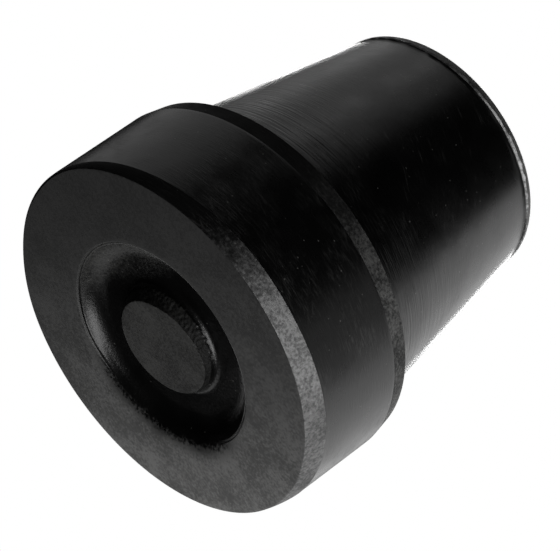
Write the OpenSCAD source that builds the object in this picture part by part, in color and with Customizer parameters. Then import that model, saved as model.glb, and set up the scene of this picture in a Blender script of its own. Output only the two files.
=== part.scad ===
// Rubber cane tip: one moulded piece, standing on its mouth with the tread on top.
// Z runs up the axis from the mouth rim to the tread face.

/* [Socket] */
// Diameter of the stick or tube that the socket grips
bore_d = 19; // [16:0.5:21]
// Depth of the socket from the mouth to its flat end
bore_depth = 26; // [18:0.5:29]
// Width of the lead-in chamfer at the mouth
bore_lead = 0.8; // [0.3:0.1:1.2]
// Radius of the rounded corner at the end of the socket
bore_end_round = 1.2; // [0.5:0.1:3]

/* [Neck] */
// Rubber around the socket at the mouth
mouth_wall = 3.4; // [2.6:0.1:5]
// Diameter of the neck where it meets the foot
neck_d = 32.2; // [30:0.1:33.6]
// Height of the short straight lip at the mouth
lip_h = 0.9; // [0.5:0.1:2]
// How far the moulding flash stands out above the lip
flash_out = 0.15; // [0.05:0.05:0.4]
// Height of the moulding flash
flash_h = 0.4; // [0.2:0.1:1]
// Radius of the root between the neck and the foot
neck_root = 0.6; // [0.2:0.1:1]

/* [Foot] */
// Overall height
overall_h = 37; // [34:0.5:48]
// Largest diameter of the foot, at its bevelled back edge
foot_d = 36; // [35.5:0.5:42]
// Height of the foot, from its back shoulder to the tread
foot_h = 12.8; // [9:0.1:15]
// Radius that the foot's side loses from the back edge to the tread
foot_draft = 0.2; // [0:0.05:1]
// Height of the bevel on the back edge
back_bevel_h = 1.9; // [0.4:0.1:3]
// Radius that the bevel takes off the back edge
back_bevel_in = 0.3; // [0.1:0.05:0.9]

/* [Ground edge of the tread] */
// Mean height of the ground band
edge_h = 1.3; // [0.6:0.1:3]
// Radius that grinding took off the tread, on average
edge_in = 0.3; // [0.25:0.05:1.2]
// How far off centre the edge was ground
edge_shift = 0.2; // [0:0.05:0.24]
// Direction of that shift round the axis
edge_shift_angle = 29; // [0:1:359]

/* [Recess in the tread] */
// Diameter of the recess at the tread face
recess_d = 20.9; // [18:0.1:26]
// Greatest depth of the ring-shaped hollow
recess_depth = 1.7; // [1.4:0.1:2.6]
// Width of the small ledge inside the recess rim
ledge_w = 0.25; // [0.1:0.05:0.6]
// Depth of that ledge below the tread
ledge_depth = 0.2; // [0.1:0.05:0.4]
// Radius of the hollow's curved outer wall
hollow_round = 2.5; // [2:0.1:3]

/* [Centre stud] */
// Diameter of the stud at its cut face
stud_d = 9.8; // [7:0.1:10.6]
// Radius that the stud gains from the tread's level to its foot
stud_flare = 0.45; // [0:0.05:0.8]
// Radius of the fillet at the stud's foot
stud_root = 0.6; // [0.2:0.05:0.8]
// Depth of the middle of the cut face below the tread
stud_drop = 0.6; // [0.55:0.05:1.4]
// Tilt of the cut face, with its high side towards +X
stud_tilt = 6; // [0:0.5:6.5]

/* [Hidden] */
$fn = 128;

// Overshoot of every cutter past the solid it cuts
over = 1;

// Socket
bore_r = bore_d / 2;

// Neck and lip
mouth_r = bore_r + mouth_wall;
neck_r = neck_d / 2;
shoulder_z = overall_h - foot_h;
neck_lean = atan2(neck_r - mouth_r, shoulder_z - lip_h);
function neck_r_at(z) = mouth_r + (z - lip_h) * tan(neck_lean);

// Root fillet: its centre is one radius from the sloping neck and one below the shoulder
root_z = shoulder_z - neck_root;
root_r = neck_r_at(root_z) + neck_root / cos(neck_lean);
root_touch = [root_r - neck_root * cos(neck_lean), root_z + neck_root * sin(neck_lean)];

// Foot
foot_r = foot_d / 2;
foot_back_r = foot_r - back_bevel_in;
foot_front_r = foot_r - foot_draft;
widest_z = shoulder_z + back_bevel_h;
side_slope = foot_draft / (overall_h - widest_z);

// Ground edge: a cone, a little off the axis, that meets the foot's side below the tread
edge_slope = edge_in / edge_h + side_slope;
tread_r = foot_front_r - edge_in;

// Recess and stud
recess_r = recess_d / 2;
hollow_mouth_r = recess_r - ledge_w;
recess_floor_z = overall_h - recess_depth;
hollow_z = recess_floor_z + hollow_round;
hollow_r = hollow_mouth_r - sqrt(hollow_round ^ 2 - (hollow_z - overall_h + ledge_depth) ^ 2);
stud_r = stud_d / 2;
stud_foot_r = stud_r + stud_flare;
stud_root_z = recess_floor_z + stud_root;
stud_cut_r = (stud_foot_r + hollow_mouth_r) / 2;

// Half section of the outside, from the mouth up to the tread
module outside_section() {
    difference() {
        polygon([
            [0, 0],
            [mouth_r, 0],
            [mouth_r, lip_h - flash_h / 2],
            [mouth_r + flash_out, lip_h],
            [neck_r_at(lip_h + flash_h / 2), lip_h + flash_h / 2],
            root_touch,
            [root_r, root_z],
            [root_r, shoulder_z],
            [foot_back_r, shoulder_z],
            [foot_r, widest_z],
            [foot_front_r, overall_h],
            [0, overall_h]
        ]);
        translate([root_r, root_z]) circle(r = neck_root);
    }
}

// Half section of the blind socket, with its lead-in and rounded end corner
module socket_section() {
    translate([0, -over]) square([bore_r, over + bore_depth - bore_end_round]);
    translate([0, bore_depth - bore_end_round - over])
        square([bore_r - bore_end_round, bore_end_round + over]);
    translate([bore_r - bore_end_round, bore_depth - bore_end_round]) circle(r = bore_end_round);
    polygon([
        [0, -over],
        [bore_r + bore_lead + over, -over],
        [bore_r, bore_lead],
        [0, bore_lead]
    ]);
}

// Half section of the stud, with the fillet at its foot
module stud_section() {
    polygon([
        [-over, recess_floor_z - over],
        [stud_foot_r, recess_floor_z - over],
        [stud_foot_r, stud_root_z],
        [stud_r, overall_h],
        [stud_r, overall_h + 2 * over],
        [-over, overall_h + 2 * over]
    ]);
    difference() {
        translate([stud_r, recess_floor_z - over]) square([stud_flare + stud_root, stud_root + over]);
        translate([stud_foot_r + stud_root, stud_root_z]) circle(r = stud_root);
    }
}

// Half section of the ring-shaped hollow round the stud, open at the tread
module recess_section() {
    difference() {
        union() {
            translate([0, overall_h - ledge_depth]) square([recess_r, ledge_depth + over]);
            translate([0, recess_floor_z]) square([hollow_r, recess_depth]);
            intersection() {
                translate([hollow_r, hollow_z]) circle(r = hollow_round);
                translate([hollow_r, recess_floor_z - over]) square([hollow_round, recess_depth - ledge_depth + over]);
            }
        }
        stud_section();
    }
}

// Cone of the ground edge; everything outside it was ground away
module edge_cone() {
    rotate([0, 0, edge_shift_angle])
        translate([edge_shift, 0, -over])
            cylinder(
                h = overall_h + 2 * over,
                r1 = tread_r + (overall_h + over) * edge_slope,
                r2 = tread_r - over * edge_slope
            );
}

// What was cut off the stud along a slightly tilted plane
module stud_offcut() {
    intersection() {
        translate([0, 0, recess_floor_z]) cylinder(h = recess_depth + over, r = stud_cut_r);
        translate([0, 0, overall_h - stud_drop])
            rotate([0, -stud_tilt, 0])
                translate([-foot_d / 2, -foot_d / 2, 0]) cube([foot_d, foot_d, foot_h]);
    }
}

module cane_tip() {
    color("#1c1c1d") difference() {
        intersection() {
            rotate_extrude() difference() {
                outside_section();
                socket_section();
                recess_section();
            }
            edge_cone();
        }
        stud_offcut();
    }
}

cane_tip();
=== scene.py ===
# %% [markdown]
# # A rubber cane tip
# This lesson dresses one moulded rubber foot for a walking stick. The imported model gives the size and
# the place. Here the same turned section is drawn again with the fine edges, the ragged moulding flash
# and the torn stud that a close photograph shows, and the rubber gets its finishes.

# %% Load the frame
import math

import bmesh
import bpy
from mathutils import Matrix, Vector


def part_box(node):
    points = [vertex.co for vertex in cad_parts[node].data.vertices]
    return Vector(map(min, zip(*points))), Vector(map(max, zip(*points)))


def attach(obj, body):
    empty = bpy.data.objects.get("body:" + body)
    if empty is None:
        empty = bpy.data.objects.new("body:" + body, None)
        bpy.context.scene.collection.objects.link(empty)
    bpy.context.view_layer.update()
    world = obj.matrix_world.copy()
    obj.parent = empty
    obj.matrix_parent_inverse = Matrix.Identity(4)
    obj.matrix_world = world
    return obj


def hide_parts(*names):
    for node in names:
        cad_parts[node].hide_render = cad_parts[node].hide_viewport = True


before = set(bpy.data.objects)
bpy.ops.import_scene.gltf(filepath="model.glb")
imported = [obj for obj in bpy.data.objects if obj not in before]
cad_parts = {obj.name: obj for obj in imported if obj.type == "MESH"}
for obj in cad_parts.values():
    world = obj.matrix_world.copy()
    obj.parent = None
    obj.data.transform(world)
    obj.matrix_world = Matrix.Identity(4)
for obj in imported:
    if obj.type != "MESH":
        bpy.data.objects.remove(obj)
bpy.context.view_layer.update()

# %% [markdown]
# ## Units and places
# The object is 37 mm high, so every size below is written in millimetres and one factor turns it to
# metres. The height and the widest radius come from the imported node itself, and the other sizes are
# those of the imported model's own section.

# %% Sizes in millimetres
MM = 0.001
tip_low, tip_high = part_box("cane_tip")
TOP = tip_high[2] / MM
FOOT_R = (tip_high[0] - tip_low[0]) / 2 / MM

BORE_R = 9.5
BORE_DEPTH = 26.0
BORE_LEAD = 0.8
BORE_END_ROUND = 1.2
MOUTH_R = 12.9
LIP_H = 0.9
NECK_R = 16.1
FOOT_H = 12.8
BACK_BEVEL_H = 1.9
BACK_BEVEL_IN = 0.3
FOOT_DRAFT = 0.2
EDGE_H = 1.3
EDGE_IN = 0.3
EDGE_SHIFT = 0.2
EDGE_SHIFT_ANGLE = math.radians(29)
RECESS_R = 10.45
RECESS_DEPTH = 1.7
LEDGE_W = 0.25
LEDGE_DEPTH = 0.2
HOLLOW_ROUND = 2.5
STUD_R = 4.9
STUD_FLARE = 0.45
STUD_ROOT = 0.6
STUD_DROP = 0.6

SHOULDER = TOP - FOOT_H
WIDEST = SHOULDER + BACK_BEVEL_H
TREAD_R = FOOT_R - FOOT_DRAFT - EDGE_IN
print(f"tip {TOP:.2f} mm high, foot {2 * FOOT_R:.2f} mm across")

# %% [markdown]
# ## The camera
# The photograph looks at the tread from about 34 degrees above its plane, with the picture turned so
# that the axis runs up to the right. The tip stands on its mouth here, so the camera looks down at it
# and is rolled until the axis runs the same way.

# %% Camera
SENSOR_MM = 36.0
CAM_PLACE = Vector((0.0, -178.4, 142.5)) * MM
CAM_AZIMUTH = math.radians(0.37)
CAM_ELEVATION = math.radians(34.01)
CAM_ROLL = math.radians(-125.68)
CAM_LENS = 150.5

bpy.ops.object.camera_add(location=CAM_PLACE)
camera = bpy.context.object
camera.name = "camera"
camera.matrix_world = (
    Matrix.Translation(CAM_PLACE)
    @ Matrix.Rotation(CAM_AZIMUTH, 4, "Z")
    @ Matrix.Rotation(math.pi / 2 - CAM_ELEVATION, 4, "X")
    @ Matrix.Rotation(CAM_ROLL, 4, "Z")
)
camera.data.lens = CAM_LENS
camera.data.sensor_width = SENSOR_MM
camera.data.clip_start = 0.01
camera.data.dof.use_dof = False
bpy.context.scene.camera = camera
print("camera at", [round(c, 4) for c in CAM_PLACE])

# %% [markdown]
# ## The turned section
# The real tip is a body of revolution, apart from its wear, so its section is drawn once and spun. A
# straight run needs only its two ends, but the rings also carry the wear that is added later, so long
# runs are divided too. Round corners are arcs worked out by one helper. A run starts a little past the
# corner before it, so that no two points fall together.

# %% Section helpers
def run(start, end, count):
    """Points from start towards end, without the end itself."""
    return [
        (start[0] + (end[0] - start[0]) * i / count, start[1] + (end[1] - start[1]) * i / count)
        for i in range(count)
    ]


def arc(centre, radius, first_deg, last_deg, count):
    """Points round an arc, both ends included."""
    points = []
    for i in range(count + 1):
        angle = math.radians(first_deg + (last_deg - first_deg) * i / count)
        points.append((centre[0] + radius * math.cos(angle), centre[1] + radius * math.sin(angle)))
    return points


# %% Socket and mouth
MOUTH_ROUND = 0.35
FLASH_OUT = 0.15
FLASH_H = 0.4

socket = run((0.0, BORE_DEPTH), (BORE_R - BORE_END_ROUND, BORE_DEPTH), 6)
socket += arc((BORE_R - BORE_END_ROUND, BORE_DEPTH - BORE_END_ROUND), BORE_END_ROUND, 90, 0, 6)
socket += run((BORE_R, BORE_DEPTH - 2 * BORE_END_ROUND), (BORE_R, BORE_LEAD), 8)
socket += run((BORE_R, BORE_LEAD), (BORE_R + BORE_LEAD, 0.0), 3)

mouth = run((BORE_R + BORE_LEAD, 0.0), (MOUTH_R - MOUTH_ROUND, 0.0), 4)
mouth += arc((MOUTH_R - MOUTH_ROUND, MOUTH_ROUND), MOUTH_ROUND, -90, 0, 5)
mouth += run((MOUTH_R, LIP_H - FLASH_H / 2), (MOUTH_R + FLASH_OUT, LIP_H), 4)
mouth += run((MOUTH_R + FLASH_OUT, LIP_H), (MOUTH_R + 0.02, LIP_H + FLASH_H / 2), 4)
print("socket and mouth:", len(socket) + len(mouth), "points")

# %% Neck, shoulder and foot side
ROOT_ROUND = 0.6
EDGE_SOFT = 0.12

neck = run((MOUTH_R + 0.02, LIP_H + FLASH_H / 2), (NECK_R - 0.1, SHOULDER - ROOT_ROUND), 44)
neck += arc((NECK_R + ROOT_ROUND - 0.08, SHOULDER - ROOT_ROUND), ROOT_ROUND, 172, 90, 6)
back_r = FOOT_R - BACK_BEVEL_IN
foot = run((back_r - 0.35, SHOULDER), (back_r - EDGE_SOFT, SHOULDER), 2)
foot += arc((back_r - EDGE_SOFT, SHOULDER + EDGE_SOFT), EDGE_SOFT, -90, -12, 4)
foot += run((back_r + 0.01, SHOULDER + EDGE_SOFT * 1.5), (FOOT_R - 0.01, WIDEST - 0.05), 9)
front_r = FOOT_R - FOOT_DRAFT
foot += run((FOOT_R, WIDEST), (front_r, TOP - EDGE_H), 34)
print("neck and foot:", len(neck) + len(foot), "points")

# %% Ground band, tread, hollow and stud
BURR = 0.05
RIM_ROUND = 0.1
floor_z = TOP - RECESS_DEPTH
hollow_z = floor_z + HOLLOW_ROUND
hollow_mouth_r = RECESS_R - LEDGE_W
lean = math.degrees(math.asin((hollow_z - TOP + LEDGE_DEPTH) / HOLLOW_ROUND))
hollow_r = hollow_mouth_r - HOLLOW_ROUND * math.cos(math.radians(lean))
stud_foot_r = STUD_R + STUD_FLARE
stud_top = TOP - STUD_DROP
root_top = floor_z + STUD_ROOT

band = run((front_r, TOP - EDGE_H), (TREAD_R + BURR, TOP - BURR), 10)
band += arc((TREAD_R, TOP - BURR), BURR, 0, 90, 3)
tread = run((TREAD_R - 0.15, TOP), (RECESS_R + RIM_ROUND + 0.1, TOP), 22)
tread += arc((RECESS_R + RIM_ROUND, TOP - RIM_ROUND), RIM_ROUND, 90, 180, 4)
tread += run((RECESS_R - 0.02, TOP - LEDGE_DEPTH), (hollow_mouth_r + 0.03, TOP - LEDGE_DEPTH), 3)
hollow = arc((hollow_r, hollow_z), HOLLOW_ROUND, -lean, -90, 24)
hollow += run((hollow_r - 0.2, floor_z), (stud_foot_r + STUD_ROOT + 0.1, floor_z), 6)
hollow += arc((stud_foot_r + STUD_ROOT, root_top), STUD_ROOT, -90, -180, 8)
stud = run((stud_foot_r - 0.02, root_top + 0.06), (STUD_R + 0.1, stud_top - 0.1), 8)
stud += arc((STUD_R, stud_top - 0.08), 0.08, 0, 90, 3)
stud += run((STUD_R - 0.1, stud_top), (STUD_R - 1.1, stud_top), 10)
stud += run((STUD_R - 1.1, stud_top), (0.0, stud_top), 12)
stud += [(0.0, stud_top)]
section = socket + mouth + neck + foot + band + tread + hollow + stud
print("whole section:", len(section), "points")


# %% [markdown]
# ## Spinning the section
# A single corner is extruded from point to point along the section, which is then spun round the axis.
# The first and last turns and the two poles are merged, and the normals are made to point outwards
# once that is done, because a spin can leave them turned in.

# %% Spin
STEPS = 360
MERGE_MM = 0.002


def deselect_all():
    """Leaves edit mode and selects nothing, because an operator acts on all that is selected."""
    if bpy.context.object and bpy.context.object.mode != "OBJECT":
        bpy.ops.object.mode_set(mode="OBJECT")
    bpy.ops.object.select_all(action="DESELECT")


def spin_section(name, points, steps):
    """Extrudes a vertex along the points and spins it once round Z."""
    deselect_all()
    # Any small plane will do as a start, because it is merged to one point
    bpy.ops.mesh.primitive_plane_add(size=MM, location=(0, 0, 0))
    piece = bpy.context.object
    piece.name = name
    bpy.ops.object.mode_set(mode="EDIT")
    bpy.ops.mesh.merge(type="CENTER")
    bpy.ops.transform.translate(value=(points[0][0] * MM, 0, points[0][1] * MM))
    for before, after in zip(points, points[1:]):
        step = ((after[0] - before[0]) * MM, 0, (after[1] - before[1]) * MM)
        bpy.ops.mesh.extrude_region_move(TRANSFORM_OT_translate={"value": step})
    bpy.ops.mesh.select_all(action="SELECT")
    bpy.ops.mesh.spin(steps=steps, angle=2 * math.pi, center=(0, 0, 0), axis=(0, 0, 1))
    bpy.ops.mesh.select_all(action="SELECT")
    bpy.ops.mesh.remove_doubles(threshold=MERGE_MM * MM)
    bpy.ops.mesh.normals_make_consistent(inside=False)
    bpy.ops.object.mode_set(mode="OBJECT")
    bpy.ops.object.shade_smooth()
    return piece


tip = spin_section("moulded_tip", section, STEPS)
print("spun mesh:", len(tip.data.vertices), "vertices,", len(tip.data.polygons), "faces")

# %% [markdown]
# ## Which ring gets which finish
# The finish of a face is set now, while every ring is still round and level, because its place on the
# section then says what it is. Later the rings are moved, and the faces keep their finish.

# %% Finish of each ring
FINISHES = 9
MOULDED, TREAD, CUT, EDGE, REAR, HOLLOW, TORN, LIP, FLASH = range(FINISHES)


def finish_at(radius, z):
    """The finish of a face by where its middle lies on the turned section."""
    if z > stud_top - 0.03 and radius < STUD_R:
        return CUT
    if radius < stud_foot_r and z > root_top:
        return TORN
    if radius < RECESS_R - 0.05 and z > floor_z - 0.1:
        return HOLLOW
    if z > TOP - 0.5 and radius < TREAD_R:
        return TREAD
    if radius > RECESS_R + 1 and z > TOP - EDGE_H:
        return EDGE
    if SHOULDER + 0.03 < z < WIDEST and radius > back_r - 0.1:
        return REAR
    if radius > MOUTH_R + 0.04 and abs(z - LIP_H) < FLASH_H * 0.4:
        return FLASH
    if radius > BORE_R + BORE_LEAD and z < LIP_H:
        return LIP
    return MOULDED


for _ in range(FINISHES):
    tip.data.materials.append(None)
for face in tip.data.polygons:
    x, y, z = face.center / MM
    face.material_index = finish_at(math.hypot(x, y), z)
counts = [sum(face.material_index == n for face in tip.data.polygons) for n in range(FINISHES)]
print("faces of each finish:", counts)

# %% [markdown]
# ## What the hand did to it
# The real tip is not quite round. Its edge was ground a little off centre, so the ground band is narrow
# on one side and wide on the other, and one stretch of it is worn in. The rim of the recess is rolled
# over on one side. The flash stands out on the side of the camera and is trimmed off at two stretches
# beside it. The stud's face is off centre and slightly tilted, as a cut by hand leaves it. All are smooth
# changes of the spun rings, so the vertices are moved, each by a function of its azimuth.

# %% Azimuth helpers
def smooth(edge0, edge1, value):
    """0 before the first edge, 1 past the second, soft in between."""
    t = min(1.0, max(0.0, (value - edge0) / (edge1 - edge0)))
    return t * t * (3 - 2 * t)


def azimuth_of(x, y):
    """Degrees round from the camera's side (-Y), positive towards +X."""
    return math.degrees(math.atan2(x, -y))


def away(azimuth, centre):
    """Degrees between two azimuths."""
    return abs((azimuth - centre + 180) % 360 - 180)


# %% The ground band
# Width of the tread and height of the foot's side over which the shift of the edge fades out
EDGE_REACH = 5.0
RELAX_H = 8.0
# The band is higher, and the edge worn in, each by so many millimetres round one azimuth in degrees
BAND_MORE = 0.35
BAND_MORE_AT = 35
WORN_IN = 0.26
WORN_IN_AT = 110

side_slope = FOOT_DRAFT / (TOP - WIDEST)
edge_slope = EDGE_IN / EDGE_H
edge_shift = Vector((math.cos(EDGE_SHIFT_ANGLE), math.sin(EDGE_SHIFT_ANGLE))) * EDGE_SHIFT


def ground_height(direction):
    """Height of the ground band, in the direction given from the axis."""
    azimuth = azimuth_of(direction.x, direction.y)
    more = BAND_MORE * (1 - smooth(20, 55, away(azimuth, BAND_MORE_AT)))
    return (EDGE_IN - edge_shift.dot(direction)) / edge_slope + more


def edge_radius(direction):
    """Radius of the tread's edge, in the direction given from the axis."""
    azimuth = azimuth_of(direction.x, direction.y)
    worn = WORN_IN * (1 - smooth(8, 42, away(azimuth, WORN_IN_AT)))
    return TREAD_R + edge_shift.dot(direction) - worn


def lean_edge(co):
    """Moves a point of the foot's side, the ground band or the outer tread to the off-centre edge."""
    x, y, z = co / MM
    radius = math.hypot(x, y)
    if radius < TREAD_R - EDGE_REACH or z < TOP - RELAX_H:
        return co
    direction = Vector((x, y)) / radius
    height = ground_height(direction)
    edge = edge_radius(direction)
    drop = TOP - z
    if drop < 0.5 * BURR and radius < TREAD_R:
        radius += (edge - TREAD_R) * (radius - TREAD_R + EDGE_REACH) / EDGE_REACH
    elif drop <= EDGE_H + 0.001:
        share = drop / EDGE_H
        drop = height * share
        side = front_r + side_slope * (drop - EDGE_H)
        radius = (radius + edge - TREAD_R) * (1 - share) + side * share
    else:
        drop += (height - EDGE_H) * (RELAX_H - drop) / (RELAX_H - EDGE_H)
    return Vector((direction.x * radius, direction.y * radius, TOP - drop)) * MM


around = [math.radians(a) for a in range(360)]
heights = [ground_height(Vector((math.cos(a), math.sin(a)))) for a in around]
print(f"ground band from {min(heights):.2f} mm to {max(heights):.2f} mm high")

# %% The recess's rim, the flash and the stud
# Sizes are in millimetres and every AT is an azimuth in degrees
ROLL_R = 12.6
ROLL_FOOT_R = 9.7
ROLL_REACH = 1.2
ROLL_DEPTH = 0.94
ROLL_AT = -142
FLASH_MORE = 0.15
FLASH_AT = -24
TRIMMED_AT = 108
TORN_IN = 0.3
TORN_AT = 18
STUD_MOVE = Vector((-0.28, 0.15, 0.24))
STUD_FACE_TILT = math.radians(3.5)


def roll_rim(co):
    """Rolls the rim of the recess over on its far side."""
    x, y, z = co / MM
    radius = math.hypot(x, y)
    if not ROLL_FOOT_R < radius < ROLL_R or z < TOP - ROLL_REACH:
        return co
    weight = 1 - smooth(35, 72, away(azimuth_of(x, y), ROLL_AT))
    depth = ROLL_DEPTH * ((ROLL_R - radius) / (ROLL_R - ROLL_FOOT_R)) ** 2
    return Vector((x, y, z + (TOP - depth - z) * weight)) * MM


def trimmed(azimuth):
    """1 on the two stretches where the flash was trimmed off, 0 where it is left."""
    return 1 - smooth(28, 42, away(azimuth, TRIMMED_AT)) * smooth(28, 42, away(azimuth, -TRIMMED_AT))


def raise_flash(co):
    """Lets the flash stand out further over one stretch of the mouth, and trims it off at two sides."""
    x, y, z = co / MM
    radius = math.hypot(x, y)
    if radius < MOUTH_R - 0.1 or abs(z - LIP_H) > FLASH_H:
        return co
    azimuth = azimuth_of(x, y)
    more = FLASH_MORE * (1 - smooth(8, 40, away(azimuth, FLASH_AT)))
    more *= 1 - smooth(0.0, FLASH_H * 0.75, abs(z - LIP_H))
    more -= max(0.0, radius - MOUTH_R - 0.02) * trimmed(azimuth)
    return Vector((x * (1 + more / radius), y * (1 + more / radius), z)) * MM


def tilt_stud(co):
    """Tilts the stud's face, sets it a little off centre and tears its side in towards the camera."""
    x, y, z = co / MM
    radius = math.hypot(x, y)
    height = z - root_top
    if radius > stud_foot_r + 0.01 or height <= 0:
        return co
    share = min(1.0, height / (stud_top - root_top))
    torn = TORN_IN * (1 - smooth(15, 70, away(azimuth_of(x, y), TORN_AT))) * smooth(0, STUD_R, radius)
    inwards = 1 - torn * share / max(radius, 1.0)
    tilted = Vector((x * inwards, y * inwards, z + x * math.tan(STUD_FACE_TILT) * share))
    return (tilted + STUD_MOVE * share) * MM


# %% Move the vertices
def move_vertices(piece, moves):
    """Sends each vertex through all the moves in turn."""
    mesh = bmesh.new()
    mesh.from_mesh(piece.data)
    for vertex in mesh.verts:
        for move in moves:
            vertex.co = move(vertex.co.copy())
    mesh.to_mesh(piece.data)
    mesh.free()


move_vertices(tip, [lean_edge, roll_rim, raise_flash, tilt_stud])
highest = max(vertex.co.z for vertex in tip.data.vertices) / MM
print(f"highest point of the shaped tip: {highest:.2f} mm")

# %% [markdown]
# ## Ragged rubber
# Rubber that squeezed into the mould's parting line leaves a ragged flash round the mouth, and one side
# of the stud is torn. A Displace modifier with a cloud texture does both. Each works through its own
# vertex group, so the clean surfaces stay clean.

# %% Vertex groups and displacement
def group_by_place(piece, name, weight_at):
    """A vertex group whose weight is a function of radius, height in mm and azimuth in degrees."""
    group = piece.vertex_groups.new(name=name)
    for vertex in piece.data.vertices:
        x, y, z = vertex.co / MM
        weight = weight_at(math.hypot(x, y), z, azimuth_of(x, y))
        if weight > 0.01:
            group.add([vertex.index], weight, "REPLACE")


def displace(piece, group, grain_mm, strength_mm, middle, depth=2):
    """Applies a Displace modifier with a cloud texture of the given grain."""
    clouds = bpy.data.textures.new(group, "CLOUDS")
    clouds.noise_scale = grain_mm * MM
    clouds.noise_depth = depth
    modifier = piece.modifiers.new(group, "DISPLACE")
    modifier.texture = clouds
    modifier.texture_coords = "LOCAL"
    modifier.vertex_group = group
    modifier.strength = strength_mm * MM
    modifier.mid_level = middle
    deselect_all()
    bpy.context.view_layer.objects.active = piece
    piece.select_set(True)
    bpy.ops.object.modifier_apply(modifier=modifier.name)


# %% Displaced flash and torn stud
FLASH_GRAIN = 0.9
FLASH_ROUGH = 0.32
TORN_GRAIN = 0.26
TORN_ROUGH = 0.34
TORN_SIDE_AT = 12


def flash_weight(radius, z, azimuth):
    """Strongest on the crest of the flash, and nothing where it was trimmed."""
    if radius < MOUTH_R - 0.02:
        return 0.0
    return (1.0 - smooth(0.02, FLASH_H * 0.7, abs(z - LIP_H))) * (1.0 - trimmed(azimuth))


def torn_weight(radius, z, azimuth):
    """The side of the stud that was torn, up to the rim of its face."""
    if radius > stud_foot_r + 0.2 or z < root_top - 0.2:
        return 0.0
    torn_side = 1.0 - smooth(35, 80, away(azimuth, TORN_SIDE_AT))
    return torn_side * smooth(STUD_R - 0.7, STUD_R - 0.1, radius)


group_by_place(tip, "flash", flash_weight)
displace(tip, "flash", FLASH_GRAIN, FLASH_ROUGH, 0.45)
group_by_place(tip, "torn_side", torn_weight)
displace(tip, "torn_side", TORN_GRAIN, TORN_ROUGH, 0.55, depth=3)
print("ragged flash and torn stud made")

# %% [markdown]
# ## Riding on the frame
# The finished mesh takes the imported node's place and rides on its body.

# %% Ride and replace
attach(tip, "root")
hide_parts("cane_tip")
print("the tip replaces the packed node")

# %% [markdown]
# ## Colours and nodes
# Colours are written as sRGB hex values, as they would be picked on a screen, and Blender needs them
# linear. One small function adds any node.

# %% Colours
def linear(hex_colour):
    """An sRGB hex colour as linear RGBA."""
    channels = [int(hex_colour[i : i + 2], 16) / 255 for i in (0, 2, 4)]
    return [c / 12.92 if c <= 0.04045 else ((c + 0.055) / 1.055) ** 2.4 for c in channels] + [1.0]


print("clean black rubber as a linear colour:", [round(c, 4) for c in linear("060606")])


# %% Adding a node
def add(tree, kind, settings=None, values=None, links=None):
    """Adds a node, sets its properties and input values, and links its inputs."""
    node = tree.nodes.new(kind)
    for name, value in (settings or {}).items():
        setattr(node, name, value)
    for name, value in (values or {}).items():
        node.inputs[name].default_value = value
    for name, output in (links or {}).items():
        tree.links.new(output, node.inputs[name])
    return node


# %% [markdown]
# ## Rubber, clean and worn
# Every finish is the same black rubber in two states: clean from the mould, nearly black and a little
# glossy, or worn, which is grey, matt and granular. A mask says which state shows where. Patterns use
# object coordinates in millimetres, so they stay put when the camera moves. First come the helpers: a
# noise of a given grain, a soft step, sums, mixed colours and scattered specks.

# %% Noise and places
def grain_of(tree, place, size_mm, detail=4.0, stretch=(1.0, 1.0, 1.0), lean=0.0):
    """Noise with features of about the given size, stretched along X, Y and Z of the object."""
    mapping = add(tree, "ShaderNodeMapping", settings={"vector_type": "TEXTURE"}, links={"Vector": place})
    mapping.inputs["Scale"].default_value = [size_mm * MM * s for s in stretch]
    mapping.inputs["Rotation"].default_value = (0.0, math.radians(lean), 0.0)
    noise = add(
        tree,
        "ShaderNodeTexNoise",
        values={"Scale": 1.0, "Detail": detail, "Roughness": 0.6},
        links={"Vector": mapping.outputs["Vector"]},
    )
    return noise.outputs["Fac"]


def xyz(tree, place):
    """The three parts of a place."""
    return add(tree, "ShaderNodeSeparateXYZ", links={"Vector": place}).outputs


# %% Steps, sums and mixed colours
def between(tree, value, low, high, to_low=0.0, to_high=1.0):
    """Maps a value from low..high to to_low..to_high with soft ends."""
    node = add(
        tree,
        "ShaderNodeMapRange",
        settings={"interpolation_type": "SMOOTHSTEP"},
        values={"From Min": low, "From Max": high, "To Min": to_low, "To Max": to_high},
        links={"Value": value},
    )
    return node.outputs["Result"]


def sums(tree, operation, first, second, third=None):
    """A math node on outputs or numbers."""
    node = add(tree, "ShaderNodeMath", settings={"operation": operation})
    for socket, value in zip(node.inputs, (first, second, third)):
        if value is None:
            continue
        if isinstance(value, (int, float)):
            socket.default_value = value
        else:
            tree.links.new(value, socket)
    return node.outputs[0]


def mix_colour(tree, factor, first, second):
    """Mixes two colours, each an output or a hex string."""
    node = add(tree, "ShaderNodeMix", settings={"data_type": "RGBA"}, links={0: factor})
    for number, colour in ((6, first), (7, second)):
        if isinstance(colour, str):
            node.inputs[number].default_value = linear(colour)
        else:
            tree.links.new(colour, node.inputs[number])
    return node.outputs[2]


# %% Specks
def specks(tree, place, cell_mm, radius_mm, share):
    """Scattered small dots: 1 in a dot, 0 elsewhere. Only a share of the cells has one."""
    cells = add(
        tree,
        "ShaderNodeTexVoronoi",
        values={"Scale": 1 / (cell_mm * MM), "Randomness": 1.0},
        links={"Vector": place},
    )
    draw = add(tree, "ShaderNodeSeparateColor", links={"Color": cells.outputs["Color"]})
    chosen = sums(tree, "LESS_THAN", draw.outputs["Red"], share)
    dot = between(tree, cells.outputs["Distance"], radius_mm / cell_mm, 0.4 * radius_mm / cell_mm)
    return sums(tree, "MULTIPLY", chosen, dot)


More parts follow.
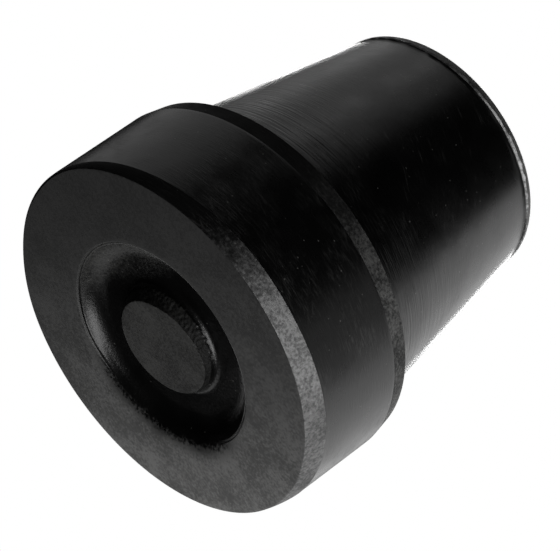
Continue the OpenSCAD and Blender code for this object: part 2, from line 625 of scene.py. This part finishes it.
# %% [markdown]
# ## Rubber as the mould leaves it
# Natural rubber filled with carbon black is nearly black, and a polished steel mould gives it a satin
# shine. What the eye reads is the shine, so the fine scratches that run round the axis are mostly a
# shallow bump. A few are grey, as is the odd speck of dust. Near its root the neck keeps the turning
# lines of the mould. Real scratches and turning lines are mostly under 0.1 mm wide, which is too fine to
# show, so scratches are drawn 0.12 mm wide and turning lines 0.22 mm.

# %% Clean state
CLOUD_MM = 4.0
STREAK_MM = 0.12
SCUFF_MM = 0.2
SPECK_CELL_MM = 0.8
SPECK_MM = 0.09
SPECK_SHARE = 0.35
NECK_FADE_MM = 9.0
TURNED_MM = 0.22
TURNED_DEEP_MM = 0.05
TURNED_REACH_MM = 14.0


def turning_lines(tree, place, height, streaks):
    """Height in millimetres of the turning lines on the neck, deepest near its root."""
    deep_mm = TURNED_DEEP_MM * streaks
    start = (SHOULDER - TURNED_REACH_MM) * MM
    near_root = between(tree, height, start, (SHOULDER - 2.0) * MM, 0.0, deep_mm)
    on_neck = between(tree, height, SHOULDER * MM, (SHOULDER + 0.2) * MM, 1.0, 0.0)
    turned = grain_of(tree, place, TURNED_MM, 1.0, stretch=(25.0, 25.0, 1.0))
    return sums(tree, "MULTIPLY", turned, sums(tree, "MULTIPLY", near_root, on_neck))


def clean_state(tree, place, cloud, grain, rough, streaks, clean_grain):
    """Colour, roughness and height in millimetres of clean rubber, with scratches and specks."""
    streak = grain_of(tree, place, STREAK_MM, 3.0, stretch=(10.0, 10.0, 1.0))
    scuff = grain_of(tree, place, SCUFF_MM, 2.0, stretch=(18.0, 4.0, 1.0), lean=24.0)
    height = xyz(tree, place)[2]
    # Marks come in patches, and scratches fade out along the neck
    on_foot = between(tree, height, (SHOULDER - NECK_FADE_MM) * MM, SHOULDER * MM, 0.15, 1.0)
    scuffed = sums(tree, "MULTIPLY", between(tree, scuff, 0.6, 0.74), between(tree, cloud, 0.4, 0.7))
    streaked = sums(tree, "MULTIPLY", between(tree, streak, 0.48, 0.7), between(tree, cloud, 0.3, 0.75))
    marks = sums(tree, "MAXIMUM", scuffed, sums(tree, "MULTIPLY", streaked, on_foot))
    marks = sums(tree, "MULTIPLY", marks, streaks)

    colour = mix_colour(tree, sums(tree, "MULTIPLY", marks, 0.45), "060606", "464645")
    dust = specks(tree, place, SPECK_CELL_MM, SPECK_MM, SPECK_SHARE)
    colour = mix_colour(tree, dust, colour, "5a5a58")
    # A scratch is rougher than the skin round it
    gloss = between(tree, cloud, 0.25, 0.75, rough[0], rough[1])
    gloss = sums(tree, "MULTIPLY_ADD", marks, 0.15, gloss)
    scratch = between(tree, cloud, 0.35, 0.7, 0.006 * streaks, 0.02 * streaks)
    bump = sums(tree, "MULTIPLY_ADD", streak, scratch, sums(tree, "MULTIPLY", cloud, 0.008))
    lines = turning_lines(tree, place, height, streaks)
    bump = sums(tree, "ADD", lines, bump)
    if clean_grain:
        bump = sums(tree, "MULTIPLY_ADD", grain, clean_grain, bump)
    return colour, gloss, bump


# %% [markdown]
# ## Worn rubber
# Where rubber is ground or rubbed, its skin is gone. It turns grey and matt, and torn grains of about
# 0.3 mm show. The grain changes the colour, the roughness and the height together, because on the real
# surface they are the same grains.

# %% Worn state
def worn_state(tree, place, cloud, grain, colours, rough, bump, painted_light_of, uneven):
    """Colour, roughness and height in millimetres of worn rubber. The tone function, if given, paints light
    into its grey by place.
    """
    share = sums(tree, "MULTIPLY_ADD", grain, 0.6, sums(tree, "MULTIPLY", cloud, 0.4))
    share = between(tree, share, 0.38, 0.62)
    if painted_light_of is not None:
        share = sums(tree, "MULTIPLY_ADD", share, uneven, 1 - uneven / 2)
        share = sums(tree, "MULTIPLY", share, painted_light_of(tree, place))
    colour = mix_colour(tree, share, colours[0], colours[1])
    gloss = between(tree, grain, 0.35, 0.65, rough[0], rough[1])
    return colour, gloss, sums(tree, "MULTIPLY", grain, bump)


# %% One finish from the two states
RUBBER_IOR = 1.5


def everywhere(tree, place):
    """The mask of a surface that is worn all over."""
    return between(tree, grain_of(tree, place, 0.3), 0.0, 0.1)


def rubber(
    name,
    mask_of=None,
    clean_rough=(0.26, 0.33),
    clean_grain=0.0,
    streaks=1.0,
    worn=("363635", "545453"),
    worn_rough=(0.55, 0.75),
    worn_grain=0.3,
    worn_bump=0.01,
    painted_light_of=None,
    uneven=0.6,
    level=0.5,
):
    """One rubber finish. mask_of gives the worn share by place; without it the rubber is clean."""
    material = bpy.data.materials.new(name)
    material.use_nodes = True
    tree = material.node_tree
    tree.nodes.clear()
    place = add(tree, "ShaderNodeTexCoord").outputs["Object"]
    cloud = grain_of(tree, place, CLOUD_MM, 2.0)
    grain = grain_of(tree, place, worn_grain)
    colour, gloss, height = clean_state(tree, place, cloud, grain, clean_rough, streaks, clean_grain)
    if mask_of is not None:
        mask = mask_of(tree, place)
        state = worn_state(tree, place, cloud, grain, worn, worn_rough, worn_bump, painted_light_of, uneven)
        colour = mix_colour(tree, mask, colour, state[0])
        gloss = sums(tree, "MULTIPLY_ADD", mask, sums(tree, "SUBTRACT", state[1], gloss), gloss)
        height = sums(tree, "MULTIPLY_ADD", mask, sums(tree, "SUBTRACT", state[2], height), height)
    normal = add(tree, "ShaderNodeBump", values={"Strength": 1.0, "Distance": MM}, links={"Height": height})
    shader = add(
        tree,
        "ShaderNodeBsdfPrincipled",
        values={"IOR": RUBBER_IOR, "Specular IOR Level": level},
        links={"Base Color": colour, "Roughness": gloss, "Normal": normal.outputs["Normal"]},
    )
    add(tree, "ShaderNodeOutputMaterial", links={"Surface": shader.outputs[0]})
    return material


# %% [markdown]
# ## Where it is worn
# Wear has a direction: a stick leans, so one side of its tip rubs most. Each mask is a function of the
# place on the object, with a granular limit, so no edge between clean and worn is drawn with a ruler.
# The two tone functions here paint light: they make the worn grey lighter where light falls.

# %% Masks
def level_mask(tree, place):
    """Ground where the surface is level with the tread, clean where it rolls down into the recess."""
    depth = sums(tree, "SUBTRACT", TOP * MM, xyz(tree, place)[2])
    depth = sums(tree, "MULTIPLY", depth, between(tree, grain_of(tree, place, 0.3), 0.25, 0.75, 0.45, 1.55))
    return between(tree, depth, 0.5 * MM, 0.02 * MM)


def facing(tree, place, azimuth, low, high, grain_mm=0.45, ragged=8.0):
    """A mask that is 1 on the side facing an azimuth and 0 away from it, with a granular limit."""
    a = math.radians(azimuth)
    x, y, _ = xyz(tree, place)
    along = sums(tree, "MULTIPLY_ADD", x, math.sin(a), sums(tree, "MULTIPLY", y, -math.cos(a)))
    along = sums(tree, "MULTIPLY_ADD", grain_of(tree, place, grain_mm), ragged * MM, along)
    return between(tree, along, (low * FOOT_R + ragged / 2) * MM, (high * FOOT_R + ragged / 2) * MM)


def tread_painted_light(tree, place):
    """Painted light: the tread's worn grey is made lighter towards -X and +Y, a painted sheen of the soft
    light on that side.
    """
    x, y, _ = xyz(tree, place)
    along = sums(tree, "ADD", sums(tree, "MULTIPLY", x, -0.87), sums(tree, "MULTIPLY", y, 0.49))
    share = sums(tree, "MULTIPLY_ADD", along, 1 / (33 * MM), 0.5)
    return sums(tree, "MULTIPLY_ADD", sums(tree, "MULTIPLY", share, share), 0.65, 0.05)


def edge_mask(tree, place):
    """The ground band is scuffed where a leaning stick touches the ground."""
    return facing(tree, place, -60, 0.2, 0.74)


def edge_painted_highlight(tree, place):
    """Painted highlight: the ground band's grey is made lighter on a short stretch that faces the camera,
    standing in for a glint of light there.
    """
    return sums(tree, "MULTIPLY_ADD", facing(tree, place, -8, 0.78, 0.97), 0.32, 0.4)


def rear_mask(tree, place):
    """The back edge is scuffed on the same side, and the scuffing fades slowly."""
    return facing(tree, place, -70, 0.0, 0.9)


def flash_mask(tree, place):
    """The flash is pale over one stretch and dull round the rest."""
    return sums(tree, "MULTIPLY_ADD", facing(tree, place, -22, 0.6, 0.72, ragged=3.0), 0.8, 0.2)


def hollow_mask(tree, place):
    """A speckled patch on the wall on the +X side, and the rolled part of the rim."""
    patch = facing(tree, place, 75, 0.3, 0.5, ragged=4.0)
    dots = specks(tree, place, 0.4, 0.12, 0.6)
    patch = sums(tree, "MULTIPLY", patch, sums(tree, "MULTIPLY_ADD", dots, 0.6, 0.4))
    rolled = sums(tree, "MULTIPLY", facing(tree, place, -142, 0.2, 0.4), level_mask(tree, place))
    return sums(tree, "MAXIMUM", patch, rolled)


# %% [markdown]
# ## The nine finishes
# All are one rubber. What differs is how the surface was made: moulded, ground flat, cut, scuffed or
# torn. That decides how grey, how matt and how grainy each one looks; on the tread and the ground band
# painted light and highlight also lighten the grey.

# %% Moulded, ground and cut
finishes = {}
# Satin black from a polished mould, with fine scratches round the axis
finishes[MOULDED] = rubber("moulded_rubber")
# Ground flat and then rubbed on the ground: an even grey, with painted light and sheen making it lighter
# towards -X and +Y
finishes[TREAD] = rubber(
    "ground_rubber_tread_and_painted_light",
    level_mask,
    worn=("161616", "8c8c8b"),
    painted_light_of=tread_painted_light,
    uneven=0.8,
)
# Cut across with a blade: even dark grey
finishes[CUT] = rubber("cut_rubber_stud", everywhere, worn=("1c1c1b", "3e3e3d"), worn_grain=0.25)

# %% Scuffed edges
# Scuffed rubber scatters light, so it is matt and has little mirror-like reflection
SCUFFED = {"clean_rough": (0.75, 0.9), "worn_rough": (0.7, 0.9), "worn_bump": 0.1, "level": 0.2}
# The ground band is the palest part: its grey is partly coarse, torn grains and partly painted highlight,
# strongest on one short stretch
finishes[EDGE] = rubber(
    "scuffed_rubber_front_and_painted_highlight",
    edge_mask,
    worn=("3a3a3a", "a0a0a0"),
    painted_light_of=edge_painted_highlight,
    uneven=1.2,
    **SCUFFED,
)
# The back edge is scuffed too, but less
finishes[REAR] = rubber("scuffed_rubber_rear", rear_mask, worn=("2c2c2c", "6c6c6b"), **SCUFFED)

# %% Recess, torn side, lip and flash
# The recess keeps its moulded skin, a little grainy from the mould's turned face
finishes[HOLLOW] = rubber(
    "moulded_rubber_recess",
    hollow_mask,
    clean_rough=(0.28, 0.38),
    clean_grain=0.03,
    streaks=0.0,
    worn=("1c1c1c", "585856"),
    worn_bump=0.04,
)
# Torn rubber is full of tiny holes and looks black
finishes[TORN] = rubber(
    "torn_rubber_stud", everywhere, worn=("020202", "1c1c1b"), worn_grain=0.2, level=0.2
)
# The lip is a dull dark grey all round
finishes[LIP] = rubber("dull_grey_rubber_lip", everywhere, worn=("484847", "6c6c6b"), worn_rough=(0.45, 0.6))
# The flash is pale over one stretch, so it is the lightest spot on the neck
finishes[FLASH] = rubber("flash_rubber", flash_mask, worn=("6a6a6a", "e2e2e2"), worn_grain=0.5)
for number, material in finishes.items():
    tip.data.materials[number] = material
print("finishes:", [slot.name for slot in tip.data.materials])

# %% [markdown]
# ## Light
# Black rubber shows its form by reflection only, so the lights are large, soft and set by what they
# mirror: one key light makes the tread and the ground band grey, and low ones draw the long shines on
# the neck and the foot. A light's size sets how wide its shine is.

# %% A soft light
LIGHT_AWAY = 500


def soft_light(name, azimuth, elevation, size, watts):
    """An area light that faces the tip, by direction in degrees and size in millimetres."""
    a, e = math.radians(azimuth), math.radians(elevation)
    back = Vector((math.sin(a) * math.cos(e), -math.cos(a) * math.cos(e), math.sin(e)))
    place = Vector((0, 0, TOP / 2 * MM)) + back * LIGHT_AWAY * MM
    bpy.ops.object.light_add(type="AREA", location=place)
    light = bpy.context.object
    light.name = name
    light.data.shape = "RECTANGLE"
    light.data.size = size[0] * MM
    light.data.size_y = size[1] * MM
    light.data.energy = watts
    light.rotation_mode = "QUATERNION"
    light.rotation_quaternion = back.to_track_quat("Z", "Y")
    light.visible_camera = False


# %% All lights
# Name, azimuth and elevation in degrees, width and height in millimetres, power in watts
LIGHTS = [
    ("key", -55, 42, (360, 280), 1.7),
    ("left", -90, 0, (250, 250), 0.35),
    ("low_left", -118, -36, (700, 430), 1.05),
    ("under", 180, -52, (280, 250), 2.0),
    ("top_side", 108, -40, (560, 380), 0.25),
    ("top_low", 60, -50, (260, 200), 0.06),
    ("top_deep", 140, -60, (300, 260), 0.09),
    ("behind", 180, -2, (250, 250), 0.3),
    ("behind_left", -148, 25, (280, 250), 0.16),
    ("front_low", -52, -27, (300, 220), 0.08),
    ("front", 0, 0, (250, 250), 0.08),
]
for light in LIGHTS:
    soft_light(*light)

# %% [markdown]
# ## Floor and background
# The photograph is a cut-out on white. The floor and the world glow white for the camera alone, so
# they neither light the rubber nor mirror in it.

# %% Pale floor and world
FLOOR_M = 4.0

deselect_all()
bpy.ops.mesh.primitive_plane_add(size=FLOOR_M, location=(0, 0, 0))
floor = bpy.context.object
floor.name = "floor"
floor.visible_glossy = False
floor.visible_diffuse = False
floor.visible_shadow = False
paper = bpy.data.materials.new("pale_floor")
paper.use_nodes = True
paper.node_tree.nodes.clear()
glow = add(paper.node_tree, "ShaderNodeEmission", values={"Color": (1, 1, 1, 1), "Strength": 1.0})
add(paper.node_tree, "ShaderNodeOutputMaterial", links={"Surface": glow.outputs[0]})
floor.data.materials.append(paper)

world = bpy.data.worlds.new("studio")
bpy.context.scene.world = world
world.use_nodes = True
sky = world.node_tree
seen = add(sky, "ShaderNodeLightPath").outputs["Is Camera Ray"]
sky.nodes["Background"].inputs["Color"].default_value = (1, 1, 1, 1)
sky.links.new(seen, sky.nodes["Background"].inputs["Strength"])
bpy.context.scene.view_settings.view_transform = "Standard"
print("floor and background are pale")
